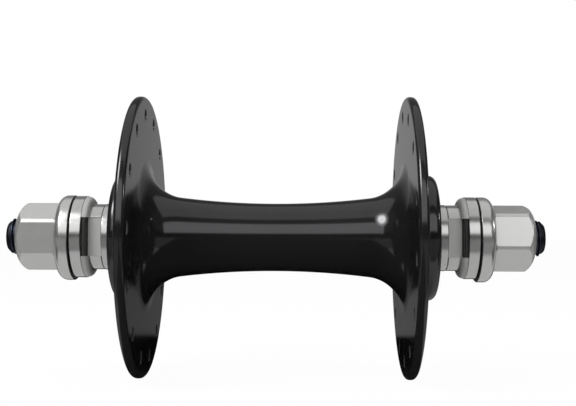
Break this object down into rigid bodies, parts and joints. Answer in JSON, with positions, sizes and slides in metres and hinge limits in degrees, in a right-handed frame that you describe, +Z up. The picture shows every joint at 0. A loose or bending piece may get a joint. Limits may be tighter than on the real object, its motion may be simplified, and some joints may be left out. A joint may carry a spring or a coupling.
{
  "type": "bicycle front hub",
  "caption": "Large-flange bicycle front hub with a solid nutted axle, cartridge bearings, locknuts and axle nuts with captive washers.",
  "frame": {"origin": "on the axle, midway between the two locknut faces", "axes": "+Y along the axle from the left end to the right end, +Z up; +X is the side that the picture shows, and the object is alike all round the axle apart from spanner flats"},
  "size_m": [0.0704, 0.134, 0.0704],
  "materials": {
    "black_shell": "polished black anodised",
    "black_axle": "black oxide",
    "bearing_steel": "ground",
    "ball_steel": "polished",
    "cage_nylon": "moulded",
    "shield_steel": "pressed",
    "zinc_plate": "bright zinc plate over turned steel",
    "satin_zinc": "satin zinc plate"
  },
  "bodies": {
    "axle_set": {"axle": "black_axle", "left_bearing_inner_race": "bearing_steel", "left_spacer": "zinc_plate", "left_locknut": "zinc_plate", "right_bearing_inner_race": "bearing_steel", "right_spacer": "zinc_plate", "right_locknut": "zinc_plate"},
    "shell": {"hub_shell": "black_shell", "left_bearing_outer_race": "bearing_steel", "left_bearing_outer_shield": "shield_steel", "left_bearing_inner_shield": "shield_steel", "right_bearing_outer_race": "bearing_steel", "right_bearing_outer_shield": "shield_steel", "right_bearing_inner_shield": "shield_steel"},
    "left_ball_train": {"left_bearing_balls": "ball_steel", "left_bearing_cage": "cage_nylon"},
    "left_washer": {"left_captive_washer": "zinc_plate"},
    "left_nut": {"left_axle_nut": "satin_zinc"},
    "right_ball_train": {"right_bearing_balls": "ball_steel", "right_bearing_cage": "cage_nylon"},
    "right_washer": {"right_captive_washer": "zinc_plate"},
    "right_nut": {"right_axle_nut": "satin_zinc"}
  },
  "joints": [
    {"name": "hub_spin", "type": "hinge", "parent": "axle_set", "child": "shell", "pos_m": [0, 0, 0], "axis": [0, 1, 0], "continuous": true},
    {"name": "left_cage_spin", "type": "hinge", "parent": "axle_set", "child": "left_ball_train", "pos_m": [0, -0.0353, 0], "axis": [0, 1, 0], "continuous": true},
    {"name": "right_cage_spin", "type": "hinge", "parent": "axle_set", "child": "right_ball_train", "pos_m": [0, 0.0353, 0], "axis": [0, 1, 0], "continuous": true},
    {"name": "left_washer_travel", "type": "slide", "parent": "axle_set", "child": "left_washer", "axis": [0, -1, 0], "range_m": [0, 0.008]},
    {"name": "left_nut_turn", "type": "hinge", "parent": "left_washer", "child": "left_nut", "pos_m": [0, -0.06, 0], "axis": [0, -1, 0], "range_deg": [0, 2880]},
    {"name": "right_washer_travel", "type": "slide", "parent": "axle_set", "child": "right_washer", "axis": [0, 1, 0], "range_m": [0, 0.008]},
    {"name": "right_nut_turn", "type": "hinge", "parent": "right_washer", "child": "right_nut", "pos_m": [0, 0.06, 0], "axis": [0, 1, 0], "range_deg": [0, 2880]}
  ],
  "couplings": [
    {"joint": "left_cage_spin", "follows": "hub_spin", "ratio": 0.6323},
    {"joint": "right_cage_spin", "follows": "hub_spin", "ratio": 0.6323},
    {"joint": "left_washer_travel", "follows": "left_nut_turn", "m_per_rad": 0.00015915},
    {"joint": "right_washer_travel", "follows": "right_nut_turn", "m_per_rad": 0.00015915}
  ]
}
